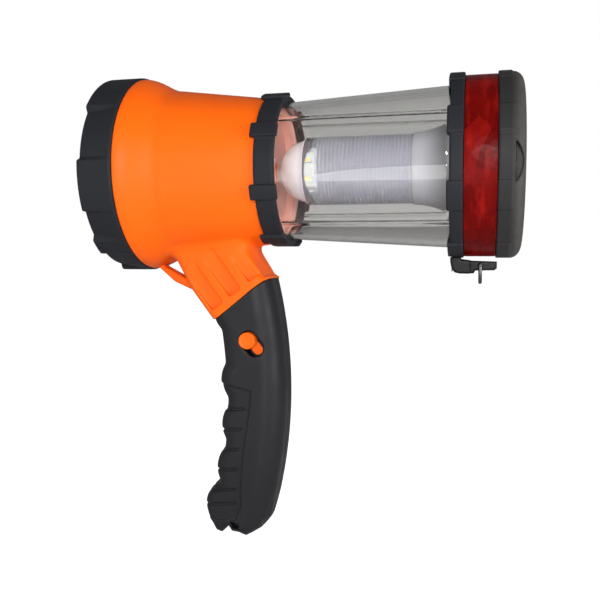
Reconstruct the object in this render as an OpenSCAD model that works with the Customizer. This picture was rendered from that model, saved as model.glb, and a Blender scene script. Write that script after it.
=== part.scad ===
// Pistol-grip firefighter flashlight: spot head, side lantern and red warning band.
// The barrel lies along X with the lantern end cap at the origin; Z is up, the grip hangs down.

/* [Overall] */

// Radius of the head ring at its raised pads (mm)
head_r = 50.2; // [50:0.1:54]
// Length of the black head ring (mm)
head_len = 18; // [14:0.5:24]
// Length of the orange barrel behind the head ring (mm)
barrel_len = 66; // [60:0.5:80]
// Width of the lugged collar that holds the lantern globe (mm)
collar_len = 10; // [8:0.5:14]
// Length of clear globe seen between the collar and the end cap (mm)
globe_len = 80.5; // [60:0.5:100]
// Length of the whole end cap with its red band (mm)
cap_len = 32.5; // [28:0.5:40]
// Number of lugs round the collar and the end cap
lug_count = 8; // [6:1:12]
// Depth of the recesses between the head pads, at the front rim (mm)
pad_depth = 2.9; // [1:0.1:3]

/* [Barrel] */

// Outer radius of the barrel where it meets the head ring (mm)
flange_r = 49.4; // [44:0.1:55]
// Outer radius of the barrel just behind its flare (mm)
throat_r = 42.6; // [38:0.1:48]
// Outer radius of the barrel at the collar (mm)
waist_r = 36.9; // [34:0.1:42]
// Length of the flare behind the head ring (mm)
flare_len = 20; // [14:0.5:30]
// Thickness of the moulded barrel wall (mm)
wall = 2.5; // [2:0.1:4]

/* [Globe] */

// Outer radius of the globe at the collar (mm)
globe_r_small = 34.4; // [30:0.1:38]
// Outer radius of the globe at the end cap (mm)
globe_r_large = 39; // [34:0.1:42]
// Thickness of the clear globe wall (mm)
globe_wall = 2.2; // [1.5:0.1:4]
// Outer radius of the ribbed light tube (mm)
tube_r = 17; // [16:0.1:19]

/* [End cap] */

// Outer radius of the two black cap rings (mm)
cap_r = 43.8; // [43:0.1:48]
// Outer radius of the red band (mm)
band_r = 43.1; // [38:0.1:48]
// Width of the red band (mm)
band_len = 14.5; // [10:0.5:24]
// Radius of the flat end face that the lamp stands on (mm)
end_face_r = 37.8; // [34:0.1:40]

/* [Grip] */

// Thickness of the grip from side to side (mm)
grip_thick = 32; // [26:0.5:38]
// Depth of the grip from finger side to palm side (mm)
grip_depth = 30.4; // [28:0.1:36]
// Radius of the long curve that the grip follows, at its middle (mm)
grip_bend_r = 236.7; // [200:0.1:300]
// Thickness of the black grip shell (mm)
grip_wall = 3; // [2:0.1:4]
// Distance between finger swells (mm)
finger_pitch = 21.8; // [20:0.1:24]
// Travel of the orange slide switch (mm)
switch_travel = 5; // [3:0.5:8]

/* [Hanging loop] */

// Thickness of the wire of the hanging loop (mm)
loop_wire = 1.8; // [1.2:0.1:3]
// Reach of the hanging loop below its pivot (mm)
loop_reach = 9.4; // [8:0.1:14]

/* [Hidden] */

$fn = 96;
gap = 0.15;
split = 0.05;

x_cap = -cap_len;
x_collar_end = x_cap - globe_len;
x_barrel_end = x_collar_end - collar_len;
x_flange = x_barrel_end - barrel_len;
x_front = x_flange - head_len;

// Head pads on one side, as [middle, sweep] in degrees; half a turn repeats them.
head_pads = [[-11, 30], [-51, 13], [65.5, 59]];
lug_angle = 18;
lug_phase = 180 / lug_count;
collar_phase = lug_phase - 2.5;
collar_r = 38;
lug_rise = 1.4;

grip_cx = x_flange - 177.9;
grip_cz = -113.6;
grip_r_in = grip_bend_r - grip_depth / 2;
grip_r_out = grip_bend_r + grip_depth / 2;
grip_edge_r = 11;

switch_x = x_flange + 56.8;
switch_z = -85.5;
switch_tilt = -48;
knob_r = 4.2;

spigot_len = 11;
spigot_r = 45.2;
spigot_in = 42.2;
dish_depth = 40;
dish_r = 40.9;
dish_hole_r = 9;

band_x0 = x_cap + 6.2;
band_x1 = band_x0 + band_len;
shoulder_x = -5;
core_r = 35;

loop_x = -18.6;
loop_z = -cap_r - 3.4;
loop_half_y = 4.9;
block_half_y = 3.6;

// ---- helpers ----------------------------------------------------------

// Puts a shape drawn along Z onto the barrel axis at station x.
module on_axis(x) {
  translate([x, 0, 0])
    rotate([0, 90, 0])
      children();
}

// Turns a profile of [radius, station] points about the barrel axis.
module turned(points) {
  on_axis(0)
    rotate_extrude()
      polygon(points);
}

// A plain ring on the barrel axis.
module ring(x0, x1, r_in, r_out) {
  on_axis(x0)
    rotate_extrude()
      translate([r_in, 0])
        square([r_out - r_in, x1 - x0]);
}

// A part of a ring, centred on the angle given about the barrel axis.
module ring_sector(x0, x1, r_in, r_out, middle, sweep) {
  on_axis(x0)
    rotate([0, 0, middle - sweep / 2])
      rotate_extrude(angle = sweep)
        translate([r_in, 0])
          square([r_out - r_in, x1 - x0]);
}

// Repeats a shape round the barrel axis.
module round_axis(count, phase) {
  for (i = [0 : count - 1]) {
    rotate([phase + i * 360 / count, 0, 0])
      children();
  }
}

// Extrudes an outline drawn in X and Z between two Y values.
module side_plate(y0, y1) {
  translate([0, y1, 0])
    rotate([90, 0, 0])
      linear_extrude(y1 - y0)
        children();
}

// One half of space: side -1 is the near half, side +1 the far half.
module half(side) {
  y0 = side > 0 ? split : -120 - split;
  translate([x_front - 20, y0, -240])
    cube([280, 120, 320]);
}

// A rounded rectangle made of exact circles and squares.
module rounded(x, y, r) {
  translate([-x / 2 + r, -y / 2])
    square([x - 2 * r, y]);
  translate([-x / 2, -y / 2 + r])
    square([x, y - 2 * r]);
  for (sx = [-1, 1], sy = [-1, 1]) {
    translate([sx * (x / 2 - r), sy * (y / 2 - r)])
      circle(r);
  }
}

// A slot outline: length is the distance between its end centres.
module slot_outline(length, width) {
  circle(width / 2);
  translate([0, -width / 2])
    square([length, width]);
  translate([length, 0])
    circle(width / 2);
}

// ---- head ------------------------------------------------------------

// One raised pad of the head ring: side is 0, or 180 for its twin across the axis.
module head_pad(middle, sweep, side) {
  on_axis(0)
    rotate([0, 0, -90 - middle - sweep / 2 + side])
      rotate_extrude(angle = sweep)
        polygon([
          [44, x_front], [head_r - 1.2, x_front], [head_r, x_front + 1.2],
          [head_r, x_flange - gap], [46, x_flange - gap]
        ]);
}

module bezel() {
  low_r = head_r - pad_depth;
  color([0.16, 0.16, 0.18])
    difference() {
      union() {
        turned([
          [low_r - 1, x_front], [low_r, x_front + 1],
          [head_r - 0.1, x_flange - gap], [42.4, x_flange - gap], [42.4, x_front]
        ]);
        for (pad = head_pads, side = [0, 180]) {
          head_pad(pad[0], pad[1], side);
        }
      }
      ring(x_front + 2.6, x_flange + 1, 40, spigot_r + 0.3);
    }
}

module front_lens() {
  color([0.85, 0.9, 0.95, 0.4])
    on_axis(x_front + 2.7)
      cylinder(h = 3, r = spigot_r - 0.1);
}

module lens_gasket() {
  color([0.1, 0.1, 0.1])
    ring(x_front + 5.8, x_flange - spigot_len - gap, spigot_in + 0.2, spigot_r - 0.2);
}

// Height of the dish curve above its vertex at radius r.
function dish_x(r) = dish_depth * (r / dish_r) * (r / dish_r);

module reflector() {
  steps = 24;
  vertex = x_flange - spigot_len + dish_depth;
  radii = [for (i = [0 : steps]) dish_hole_r + (dish_r - dish_hole_r) * i / steps];
  inner = [for (r = radii) [r, vertex - dish_x(r)]];
  outer = [for (i = [steps : -1 : 0]) [radii[i] + 1.1, vertex - dish_x(radii[i]) + 0.5]];
  color([0.85, 0.86, 0.88])
    union() {
      turned(concat(inner, outer));
      ring(x_flange - spigot_len, x_flange - spigot_len + 1.2, dish_r - 0.6, spigot_in - 0.2);
    }
}

module spot_emitter() {
  color([0.95, 0.85, 0.3])
    on_axis(x_flange - spigot_len + dish_depth - 3.7)
      cylinder(h = 1.5, r = 5.5);
}

module spot_board() {
  color([0.9, 0.9, 0.9])
    on_axis(x_flange - spigot_len + dish_depth - 2.1)
      cylinder(h = 1.6, r = 8);
}

module heat_sink() {
  face = x_flange - spigot_len + dish_depth + 1.8;
  color([0.7, 0.71, 0.73])
    union() {
      on_axis(face - 2.2)
        cylinder(h = 4, r = 8.2);
      on_axis(face)
        cylinder(h = 3, r = 34);
      for (r = [12 : 7 : 33]) {
        ring(face + 2.5, face + 10, r - 1.2, r);
      }
    }
}

module driver_board() {
  face = x_flange + 47;
  color([0.1, 0.4, 0.2])
    union() {
      on_axis(face)
        cylinder(h = 1.6, r = 31);
      translate([face + 1.5, -9, -7])
        cube([4, 7, 7]);
      translate([face + 1.5, 4, -5])
        cube([3, 9, 12]);
      translate([face + 5, 0, 16])
        rotate([0, 90, 0])
          translate([0, 0, -3.5])
            cylinder(h = 8, r = 3.5);
    }
}

// ---- barrel, neck and strut -------------------------------------------

// Outer radius of the barrel at distance u behind the head ring.
function barrel_r(u) =
  u < flare_len
    ? throat_r + (flange_r - throat_r) * (1 + cos(180 * u / flare_len)) / 2
    : throat_r + (waist_r - throat_r) * (u - flare_len) / (barrel_len - flare_len);

// The barrel as a solid of revolution, shrunk by the amount given.
module barrel_solid(shrink, u_end) {
  flare = [for (i = [0 : 10]) flare_len * i / 10];
  stations = concat(flare, [u_end]);
  turned(concat(
    [[0, x_flange]],
    [for (u = stations) [barrel_r(u) - shrink, x_flange + u]],
    [[0, x_flange + u_end]]
  ));
}

// Line where the orange neck meets the black grip, front to back.
neck_foot = [
  [37.4, -75.6], [40.6, -74], [45.7, -70.1], [51.8, -65.2],
  [58.4, -59.8], [63.6, -55.9], [67, -54]
];

// Side outline of the neck, from inside the barrel down to the grip.
module neck_outline() {
  front = [[13, -36], [16.9, -43.7], [21.6, -52.5], [26, -60.5]];
  back = [[63.4, -52.4], [56.6, -41.5], [53.3, -34]];
  translate([x_flange, 0])
    polygon(concat(front, neck_foot, back));
}

module neck_hollow_outline() {
  translate([x_flange, 0])
    polygon([
      [20, -34], [21, -45], [26, -54], [38.4, -70.4], [44, -66.6],
      [50, -61.8], [57, -56.2], [61, -53], [54.5, -42], [51, -32]
    ]);
}

// Brace between the head ring and the neck, with its triangular eye.
strut_half = 4;

module strut_outline() {
  translate([x_flange, 0])
    difference() {
      polygon([
        [0.8, -42], [0.8, -46.4], [3.9, -49.3], [12.3, -56.5],
        [20.3, -60], [26, -62], [28, -56], [18, -38]
      ]);
      polygon([[2.2, -46], [13.4, -41.3], [18.9, -54.6]]);
    }
}

// Slanted channels pressed into each side of the neck: [u, z] of the foot end and length.
channel_feet = [[40.6, -68.6, 27], [50, -61.4, 25], [60.2, -53.8, 16]];
channel_width = 7.6;
channel_tilt = -53.5;

module neck_channels(y0, y1) {
  for (c = channel_feet) {
    side_plate(y0, y1)
      translate([x_flange + c[0], c[1]])
        rotate(channel_tilt)
          translate([-c[2], -channel_width / 2])
            square([c[2], channel_width]);
  }
}

// Places, in X and Z, of the screws that close the neck.
neck_screws = [[x_flange + 31.5, -58], [x_flange + 54.5, -48]];

// A screw boss across the hollow, with its pilot hole and head recess cut later.
module boss(place) {
  side_plate(-grip_thick / 2 + 3, grip_thick / 2 - 3)
    translate(place)
      circle(4.4);
}

module boss_holes(place) {
  side_plate(-10, grip_thick / 2 + 2)
    translate(place)
      circle(1.4);
  side_plate(grip_thick / 2 - 4.4, grip_thick / 2 + 2)
    translate(place)
      circle(3.1);
}

module closing_screw(place) {
  side_plate(-9, grip_thick / 2 - 4)
    translate(place)
      circle(1.25);
  difference() {
    side_plate(grip_thick / 2 - 4.3, grip_thick / 2 - 2.3)
      translate(place)
        circle(2.9);
    side_plate(grip_thick / 2 - 3.3, grip_thick / 2)
      translate(place)
        for (a = [0, 90]) {
          rotate(a)
            square([3.4, 0.8], center = true);
        }
  }
}

socket_x = x_flange + 56;

module body_half(side) {
  half_thick = grip_thick / 2;
  intersection() {
    difference() {
      union() {
        difference() {
          union() {
            barrel_solid(0, barrel_len);
            side_plate(-half_thick, half_thick) neck_outline();
            side_plate(-strut_half, strut_half) strut_outline();
            ring(x_flange - spigot_len + gap, x_flange + 1, spigot_in, spigot_r);
            ring(x_barrel_end - 1, x_barrel_end + 5.8, 30, 36);
          }
          difference() {
            barrel_solid(wall, barrel_len - 2);
            ring(x_flange - 1, x_flange + 2.5, spigot_in, 60);
          }
          ring(x_flange - spigot_len - 1, x_flange + 1, 0, spigot_in);
          side_plate(3.6 - half_thick, half_thick - 3.6) neck_hollow_outline();
          ring(x_barrel_end - 4, x_barrel_end + 8, 0, 6);
          ring(x_barrel_end + 4.6, x_barrel_end + 8, 0, 32.6);
        }
        for (p = neck_screws) {
          boss(p);
        }
      }
      for (p = neck_screws) {
        boss_holes(p);
      }
      neck_channels(-half_thick - 1, -half_thick + 2);
      neck_channels(half_thick - 2, half_thick + 1);
      translate([socket_x, 20, 0])
        rotate([-90, 0, 0])
          cylinder(h = 30, r = 4.3);
    }
    half(side);
  }
}

module body_near() {
  color([1, 0.42, 0.05])
    body_half(-1);
}

module body_far() {
  color([1, 0.42, 0.05])
    body_half(1);
}

module body_screws() {
  color([0.6, 0.6, 0.62])
    for (p = neck_screws) {
      closing_screw(p);
    }
}

module charge_socket() {
  color([0.08, 0.08, 0.08])
    difference() {
      union() {
        translate([socket_x - 5, 20, -5])
          cube([10, 12, 10]);
        translate([socket_x, 30, 0])
          rotate([-90, 0, 0])
            cylinder(h = 8.2, r = 4.1);
      }
      difference() {
        translate([socket_x, 28, 0])
          rotate([-90, 0, 0])
            cylinder(h = 12, r = 2.8);
        translate([socket_x, 20, 0])
          rotate([-90, 0, 0])
            cylinder(h = 17, r = 1);
      }
    }
}

// ---- grip ------------------------------------------------------------

// Point on the grip's curve at radius r and angle a, as [x, z].
function grip_point(r, a) = [grip_cx + r * cos(a), grip_cz + r * sin(a)];

// Sweeps a cross-section along the grip's curve between two angles.
module grip_sweep(a0, a1) {
  translate([grip_cx, 0, grip_cz])
    rotate([90, 0, 0])
      rotate([0, 0, a0])
        rotate_extrude(angle = a1 - a0)
          translate([grip_bend_r, 0])
            children();
}

// Swells between the fingers, as [angle, rise]: evenly spaced down the front, one under the neck.
module finger_swells() {
  swell_r = 16;
  step = finger_pitch / grip_r_in * 180 / PI;
  rises = [[10.8, 2.9], [1.7, 2.9], [1.7 - step, 2.9], [1.7 - 2 * step, 2.9], [1.7 - 3 * step, 5.1]];
  for (swell = rises) {
    side_plate(-9, 9)
      translate(grip_point(grip_r_in - swell[1] + swell_r, swell[0]))
        circle(swell_r);
  }
}

// Everything of the side view that belongs to the grip.
module grip_outline() {
  top = [for (p = neck_foot) p + [0.1, -0.2]];
  bottom = [
    [95, -60], [90, -150], [70, -170], [66, -179.5], [61, -184.6],
    [54.5, -187.5], [50.8, -186], [46.8, -185.6], [45, -183],
    [41.5, -186.5], [38.5, -185.6], [33.4, -179], [30, -171.5],
    [25, -160], [25, -82]
  ];
  translate([x_flange, 0])
    polygon(concat(top, bottom));
}

grip_screw_places = [
  grip_point(229, 9.6), grip_point(231, 4.6), grip_point(238, -15.2)
];

// Places a side outline at the switch, turned along its travel.
module at_switch(y0, y1) {
  side_plate(y0, y1)
    translate([switch_x, switch_z])
      rotate(switch_tilt)
        children();
}

module grip_half(side) {
  y_skin = -grip_thick / 2;
  y_inner = y_skin + grip_wall;
  intersection() {
    difference() {
      union() {
        difference() {
          intersection() {
            union() {
              grip_sweep(-20, 16)
                rounded(grip_depth, grip_thick, grip_edge_r);
              finger_swells();
            }
            side_plate(-20, 20) grip_outline();
          }
          grip_sweep(-15.8, 18)
            rounded(
              grip_depth - 2 * grip_wall,
              grip_thick - 2 * grip_wall,
              grip_edge_r - grip_wall
            );
        }
        intersection() {
          for (p = grip_screw_places) {
            boss(p);
          }
          side_plate(-20, 20) grip_outline();
        }
      }
      for (p = grip_screw_places) {
        boss_holes(p);
      }
      at_switch(y_skin - 2, y_inner + 1)
        slot_outline(switch_travel, 2 * knob_r + 1);
      at_switch(y_inner + 0.2, y_inner + 4)
        translate([-2, 0])
          slot_outline(8.5 + switch_travel, 8.2);
    }
    half(side);
  }
}

module grip_near() {
  color([0.17, 0.17, 0.19])
    grip_half(-1);
}

module grip_far() {
  color([0.17, 0.17, 0.19])
    grip_half(1);
}

module grip_screws() {
  color([0.6, 0.6, 0.62])
    for (p = grip_screw_places) {
      closing_screw(p);
    }
}

module switch_knob() {
  y_plate = -grip_thick / 2 + grip_wall + 0.3;
  color([1, 0.42, 0.05])
    union() {
      at_switch(-grip_thick / 2 - 2.6, y_plate + 0.5)
        circle(knob_r);
      at_switch(y_plate, y_plate + 1.5)
        translate([-1.5, 0])
          slot_outline(8, 7.6);
      at_switch(y_plate + 1, y_plate + 3.6)
        circle(1.5);
    }
}

module switch_block() {
  y_face = -grip_thick / 2 + grip_wall + 2.2;
  color([0.12, 0.12, 0.12])
    difference() {
      at_switch(y_face, y_face + 6)
        translate([-4.5, -3.5])
          square([14, 7]);
      at_switch(y_face - 1, y_face + 2.6)
        slot_outline(switch_travel, 3.8);
    }
}

cell_angle = -4.6;

// Places a shape on the battery's axis, s above the battery's middle.
module on_cell(s) {
  p = grip_point(grip_bend_r + 0.6, cell_angle);
  translate([p[0], 0, p[1]])
    rotate([0, -cell_angle, 0])
      translate([0, 0, s])
        children();
}

module battery_cell() {
  color([0.2, 0.35, 0.6])
    union() {
      on_cell(-32.5)
        cylinder(h = 64, r = 9.1);
      on_cell(31)
        cylinder(h = 1.8, r = 3.4);
    }
}

module contact_spring() {
  turns = 5;
  wire_r = 0.7;
  color([0.75, 0.75, 0.78])
    union() {
      on_cell(-38.6)
        cylinder(h = 0.7, r = 5);
      for (i = [0 : turns - 1]) {
        on_cell(-37.4 + i * 1.05)
          rotate_extrude()
            translate([4.2 - 0.2 * i, 0])
              circle(wire_r);
      }
    }
}

module contact_plate() {
  color([0.75, 0.75, 0.78])
    on_cell(33)
      cylinder(h = 0.6, r = 6);
}

// ---- lantern ---------------------------------------------------------

module collar() {
  x0 = x_barrel_end + gap;
  color([0.16, 0.16, 0.18])
    union() {
      turned([
        [36.2, x0], [collar_r - 0.8, x0], [collar_r, x0 + 0.8],
        [collar_r, x_collar_end - 1.6], [collar_r - 1.2, x_collar_end],
        [34.8, x_collar_end], [34.8, x_collar_end - 1.4],
        [36.2, x_collar_end - 1.4]
      ]);
      round_axis(lug_count, collar_phase) {
        ring_sector(
          x0 - 2, x_collar_end + 1.6, collar_r - 0.5,
          collar_r + lug_rise, 0, 11
        );
      }
    }
}

globe_x0 = x_barrel_end + 7.2;
globe_x1 = x_cap + 3.4;

// Outer radius of the globe at station x.
function globe_r(x) =
  globe_r_small
  + (globe_r_large - globe_r_small) * (x - x_collar_end) / (globe_x1 - x_collar_end);

module globe_gasket() {
  color([0.1, 0.1, 0.1])
    ring(x_barrel_end + 6, globe_x0 - 0.1, 33, 35.8);
}

module globe() {
  x_lip = x_collar_end - 1.6;
  color([0.8, 0.82, 0.82, 0.35])
    turned([
      [globe_r_small - globe_wall, globe_x0], [35.9, globe_x0], [35.9, x_lip],
      [globe_r_small, x_lip], [globe_r_small, x_collar_end],
      [globe_r_large, globe_x1], [globe_r_large - globe_wall, globe_x1],
      [globe_r_small - globe_wall, x_collar_end]
    ]);
}

tube_x0 = x_flange + 85.2;
tube_x1 = x_flange + 138;

module base_cup() {
  x0 = x_barrel_end + 4.8;
  color([0.93, 0.94, 0.96])
    turned([
      [0, x0], [11, x0], [11, x0 + 3], [12.6, x0 + 6.5],
      [tube_r - 0.8, tube_x0 - 2.4], [tube_r + 0.4, tube_x0 - 0.2],
      [tube_r - 2.4, tube_x0 - 0.2], [12.4, tube_x0 - 2], [0, tube_x0 - 2]
    ]);
}

module lantern_board() {
  color([0.9, 0.9, 0.88])
    on_axis(tube_x0 - 1.8)
      cylinder(h = 7, r = 11.6, $fn = 8);
}

// Flat-to-axis distance of the eight-sided lamp post.
post_flat = 11.6 * cos(180 / 8);

module lantern_leds() {
  color([0.95, 0.85, 0.35])
    for (i = [0 : 7]) {
      rotate([i * 45 + 22.5, 0, 0])
        translate([tube_x0 + 1, -1.4, post_flat + 0.05])
          cube([3.5, 2.8, 1.2]);
    }
}

module light_tube() {
  pitch = 1.9;
  rib_x0 = tube_x0 + 7;
  ribs = floor((tube_x1 - rib_x0 - 1) / pitch);
  color([0.85, 0.88, 0.92, 0.5])
    union() {
      ring(tube_x0, tube_x1, tube_r - 1.6, tube_r);
      for (i = [0 : ribs]) {
        x = rib_x0 + i * pitch;
        ring(x, x + 0.9, tube_r - 2.4, tube_r - 1);
      }
    }
}

// Radius of the bell at t, from 0 at the tube to 1 at the rim.
function bell_r(t) = tube_r + 0.6 + 7.6 * t * t;

module bell_reflector() {
  x1 = x_cap + 3.3;
  len = x1 - tube_x1;
  steps = 10;
  t = [for (i = [0 : steps]) i / steps];
  outer = [for (v = t) [bell_r(v), tube_x1 + 0.2 + v * (len - 0.2)]];
  inner = [for (i = [steps : -1 : 0]) [bell_r(t[i]) - 1.6, outer[i][1]]];
  color([0.92, 0.93, 0.95])
    turned(concat(outer, inner));
}

// ---- end cap ---------------------------------------------------------

boss_r = 28;

module cap_base() {
  color([0.16, 0.16, 0.18])
    difference() {
      union() {
        turned([
          [39.9, x_cap], [cap_r - 1, x_cap], [cap_r, x_cap + 1],
          [cap_r, band_x0 - gap], [core_r, band_x0 - gap],
          [core_r, shoulder_x - 2.8], [core_r - 2, shoulder_x - 2.8],
          [core_r - 2, band_x0 + 1], [0, band_x0 + 1], [0, x_cap + 3.5],
          [39.9, x_cap + 3.5]
        ]);
        round_axis(lug_count, lug_phase) {
          ring_sector(x_cap - 1.2, band_x0 - gap, cap_r - 3.4, cap_r + 0.8, 0, lug_angle);
        }
        round_axis(4, 45) {
          translate([0, 0, boss_r])
            on_axis(band_x0 - 1.2)
              cylinder(h = band_len + 1, r = 3.8);
        }
      }
      round_axis(4, 45) {
        translate([0, 0, boss_r])
          on_axis(band_x0 + 4)
            cylinder(h = band_len, r = 1.4);
      }
      for (y = [-1, 1]) {
        translate([bracket_screw_x, y * 4, -50])
          cylinder(h = 9.8, r = 1.15);
      }
    }
}

module red_band() {
  color([0.55, 0.04, 0.03, 0.85])
    ring(band_x0, band_x1, band_r - 2.2, band_r);
}

module red_board() {
  color([0.85, 0.85, 0.82])
    ring(band_x0 + 2, band_x1 - 2, core_r + 0.1, core_r + 1.2);
}

module red_leds() {
  color([0.9, 0.2, 0.15])
    for (i = [0 : 11]) {
      rotate([i * 30 + 15, 0, 0])
        translate([(band_x0 + band_x1) / 2 - 1.75, -1.4, core_r + 1.25])
          cube([3.5, 2.8, 1.6]);
    }
}

// Shallow thumb scallops in the rounded shoulder of the end cap.
module thumb_scallops() {
  for (side = [-1, 1]) {
    y_floor = cap_r - 4.6;
    intersection() {
      translate([shoulder_x + 0.4, side > 0 ? y_floor : -y_floor - 10, -20])
        cube([20, 10, 36]);
      translate([shoulder_x - 10.1, 0, -2.5])
        rotate([side * -90, 0, 0])
          cylinder(h = 60, r = 13.9);
    }
  }
}

module end_cap() {
  steps = 6;
  drop = cap_r - end_face_r;
  shoulder = [
    for (i = [0 : steps])
      [end_face_r + drop * cos(90 * i / steps), shoulder_x - shoulder_x * sin(90 * i / steps)]
  ];
  color([0.2, 0.2, 0.21])
    difference() {
      union() {
        turned(concat(
          [[core_r + 6.6, band_x1 + gap], [cap_r, band_x1 + gap]],
          shoulder,
          [[0, 0], [0, -2.6], [38, -2.6], [38, shoulder_x - 1], [core_r + 6.6, shoulder_x - 2]]
        ));
        round_axis(lug_count, lug_phase) {
          ring_sector(
            band_x1 + gap, shoulder_x - 0.4, cap_r - 2,
            cap_r + 0.6, 0, lug_angle
          );
        }
        round_axis(4, 45) {
          translate([0, 0, boss_r])
            on_axis(band_x1 + 0.9)
              cylinder(h = -band_x1 - 3, r = 4.2);
        }
      }
      round_axis(4, 45) {
        translate([0, 0, boss_r])
          on_axis(band_x1 - 1) {
            cylinder(h = 20, r = 1.8);
            translate([0, 0, -band_x1 - 1.6])
              cylinder(h = 10, r = 3.2);
          }
      }
      thumb_scallops();
    }
}

module cap_screws() {
  color([0.6, 0.6, 0.62])
    round_axis(4, 45) {
      translate([0, 0, boss_r])
        difference() {
          union() {
            on_axis(band_x0 + 6)
              cylinder(h = -band_x0 - 8.4, r = 1.3);
            on_axis(-2.5)
              cylinder(h = 1.9, r = 2.9);
          }
          on_axis(-1.4)
            for (a = [0, 90]) {
              rotate([0, 0, a])
                translate([-1.7, -0.4, 0])
                  cube([3.4, 0.8, 3]);
            }
        }
    }
}

// ---- hanging loop ----------------------------------------------------

bracket_screw_x = x_cap + 2.2;

module bracket_outline() {
  polygon([
    [x_cap - 0.3, -42], [x_cap - 0.2, -46], [x_cap + 0.4, -48.6],
    [x_cap + 1.8, -50.8], [x_cap + 4, -51.3], [x_cap + 10.8, -51.4],
    [x_cap + 11.6, -50], [x_cap + 20.6, -49.8], [x_cap + 21.7, -48.8],
    [x_cap + 21.7, -45.6], [x_cap + 10, -45.2], [x_cap + 4.6, -44.6],
    [x_cap + 4.6, -42]
  ]);
}

module hook_bracket() {
  color([0.1, 0.1, 0.11])
    difference() {
      union() {
        intersection() {
          side_plate(-7, 7) bracket_outline();
          translate([x_cap - 5, -10, -60])
            cube([14, 20, 30]);
        }
        side_plate(-block_half_y, block_half_y) bracket_outline();
      }
      ring(x_cap - 3, 0, 0, cap_r + 0.1);
      translate([loop_x, 0, loop_z])
        rotate([90, 0, 0])
          cylinder(h = 30, r = loop_wire / 2 + 0.08, center = true);
      for (y = [-1, 1]) {
        translate([bracket_screw_x, y * 4, -53])
          cylinder(h = 12, r = 1.3);
        translate([bracket_screw_x, y * 4, -55])
          cylinder(h = 6.3, r = 2.1);
      }
    }
}

module bracket_screws() {
  color([0.6, 0.6, 0.62])
    for (y = [-1, 1]) {
      translate([bracket_screw_x, y * 4, -48.9])
        cylinder(h = 8, r = 1.05);
      translate([bracket_screw_x, y * 4, -50.4])
        cylinder(h = 1.6, r = 1.95);
    }
}

module hang_loop() {
  side_len = loop_reach - loop_half_y - loop_wire / 2;
  color([0.55, 0.56, 0.58])
    translate([loop_x, 0, loop_z])
      union() {
        rotate([90, 0, 0])
          cylinder(h = 2 * loop_half_y + loop_wire, r = loop_wire / 2, center = true);
        for (y = [-1, 1]) {
          translate([0, y * loop_half_y, -side_len])
            cylinder(h = side_len, r = loop_wire / 2);
        }
        translate([0, 0, -side_len])
          rotate([0, 90, 0])
            rotate([0, 0, -90])
              rotate_extrude(angle = 180)
                translate([loop_half_y, 0])
                  circle(loop_wire / 2);
      }
}

// ---- output ----------------------------------------------------------

bezel();
front_lens();
lens_gasket();
reflector();
spot_emitter();
spot_board();
heat_sink();
driver_board();
body_near();
body_far();
body_screws();
grip_near();
grip_far();
grip_screws();
switch_knob();
switch_block();
battery_cell();
contact_spring();
contact_plate();
charge_socket();
collar();
globe_gasket();
globe();
base_cup();
lantern_board();
lantern_leds();
light_tube();
bell_reflector();
cap_base();
red_band();
red_board();
red_leds();
end_cap();
cap_screws();
hook_bracket();
bracket_screws();
hang_loop();
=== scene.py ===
import math

import bmesh
import bpy
import numpy as np
from mathutils import Matrix, Vector


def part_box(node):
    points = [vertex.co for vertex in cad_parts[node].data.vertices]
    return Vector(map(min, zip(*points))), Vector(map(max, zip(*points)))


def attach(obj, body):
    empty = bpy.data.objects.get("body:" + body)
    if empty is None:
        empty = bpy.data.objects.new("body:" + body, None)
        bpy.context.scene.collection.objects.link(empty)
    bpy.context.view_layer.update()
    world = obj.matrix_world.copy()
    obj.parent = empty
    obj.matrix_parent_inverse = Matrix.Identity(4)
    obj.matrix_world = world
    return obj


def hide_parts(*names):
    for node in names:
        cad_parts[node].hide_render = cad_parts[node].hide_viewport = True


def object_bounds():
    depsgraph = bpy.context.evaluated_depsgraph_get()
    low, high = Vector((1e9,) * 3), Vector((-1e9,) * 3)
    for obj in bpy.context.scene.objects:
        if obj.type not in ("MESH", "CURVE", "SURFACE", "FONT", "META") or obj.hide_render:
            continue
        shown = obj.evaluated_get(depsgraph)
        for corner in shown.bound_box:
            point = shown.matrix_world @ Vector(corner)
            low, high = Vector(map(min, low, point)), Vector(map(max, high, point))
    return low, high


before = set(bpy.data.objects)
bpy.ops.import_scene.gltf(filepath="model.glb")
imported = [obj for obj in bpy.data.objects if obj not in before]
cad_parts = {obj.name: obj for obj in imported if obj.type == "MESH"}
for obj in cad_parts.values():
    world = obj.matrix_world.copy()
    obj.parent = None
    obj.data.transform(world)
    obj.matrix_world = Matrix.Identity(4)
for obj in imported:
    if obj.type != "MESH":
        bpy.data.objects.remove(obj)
cad_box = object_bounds()

# Shapes are worked out in millimetres in the row frame and turned into metres with their mesh.
MM = 1000.0


def low(node):
    """Lowest corner of a CAD node, in millimetres."""
    return np.array(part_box(node)[0]) * MM


def high(node):
    """Highest corner of a CAD node, in millimetres."""
    return np.array(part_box(node)[1]) * MM


# ---- driving sizes, read from the frame ----

GAP = 0.15
SPLIT = 0.05
SPLIT_EDGE = 0.35
X_FRONT = low("bezel")[0]
X_FLANGE = high("bezel")[0] + GAP
X_BARREL_END = low("base_cup")[0] - 4.8
X_COLLAR_END = high("collar")[0] - 1.6
X_CAP = low("cap_base")[0] + 1.2
BAND_X0 = low("red_band")[0]
BAND_X1 = high("red_band")[0]
TUBE_X0 = low("light_tube")[0]
TUBE_X1 = high("light_tube")[0]
SHOULDER_X = -5.0

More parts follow.
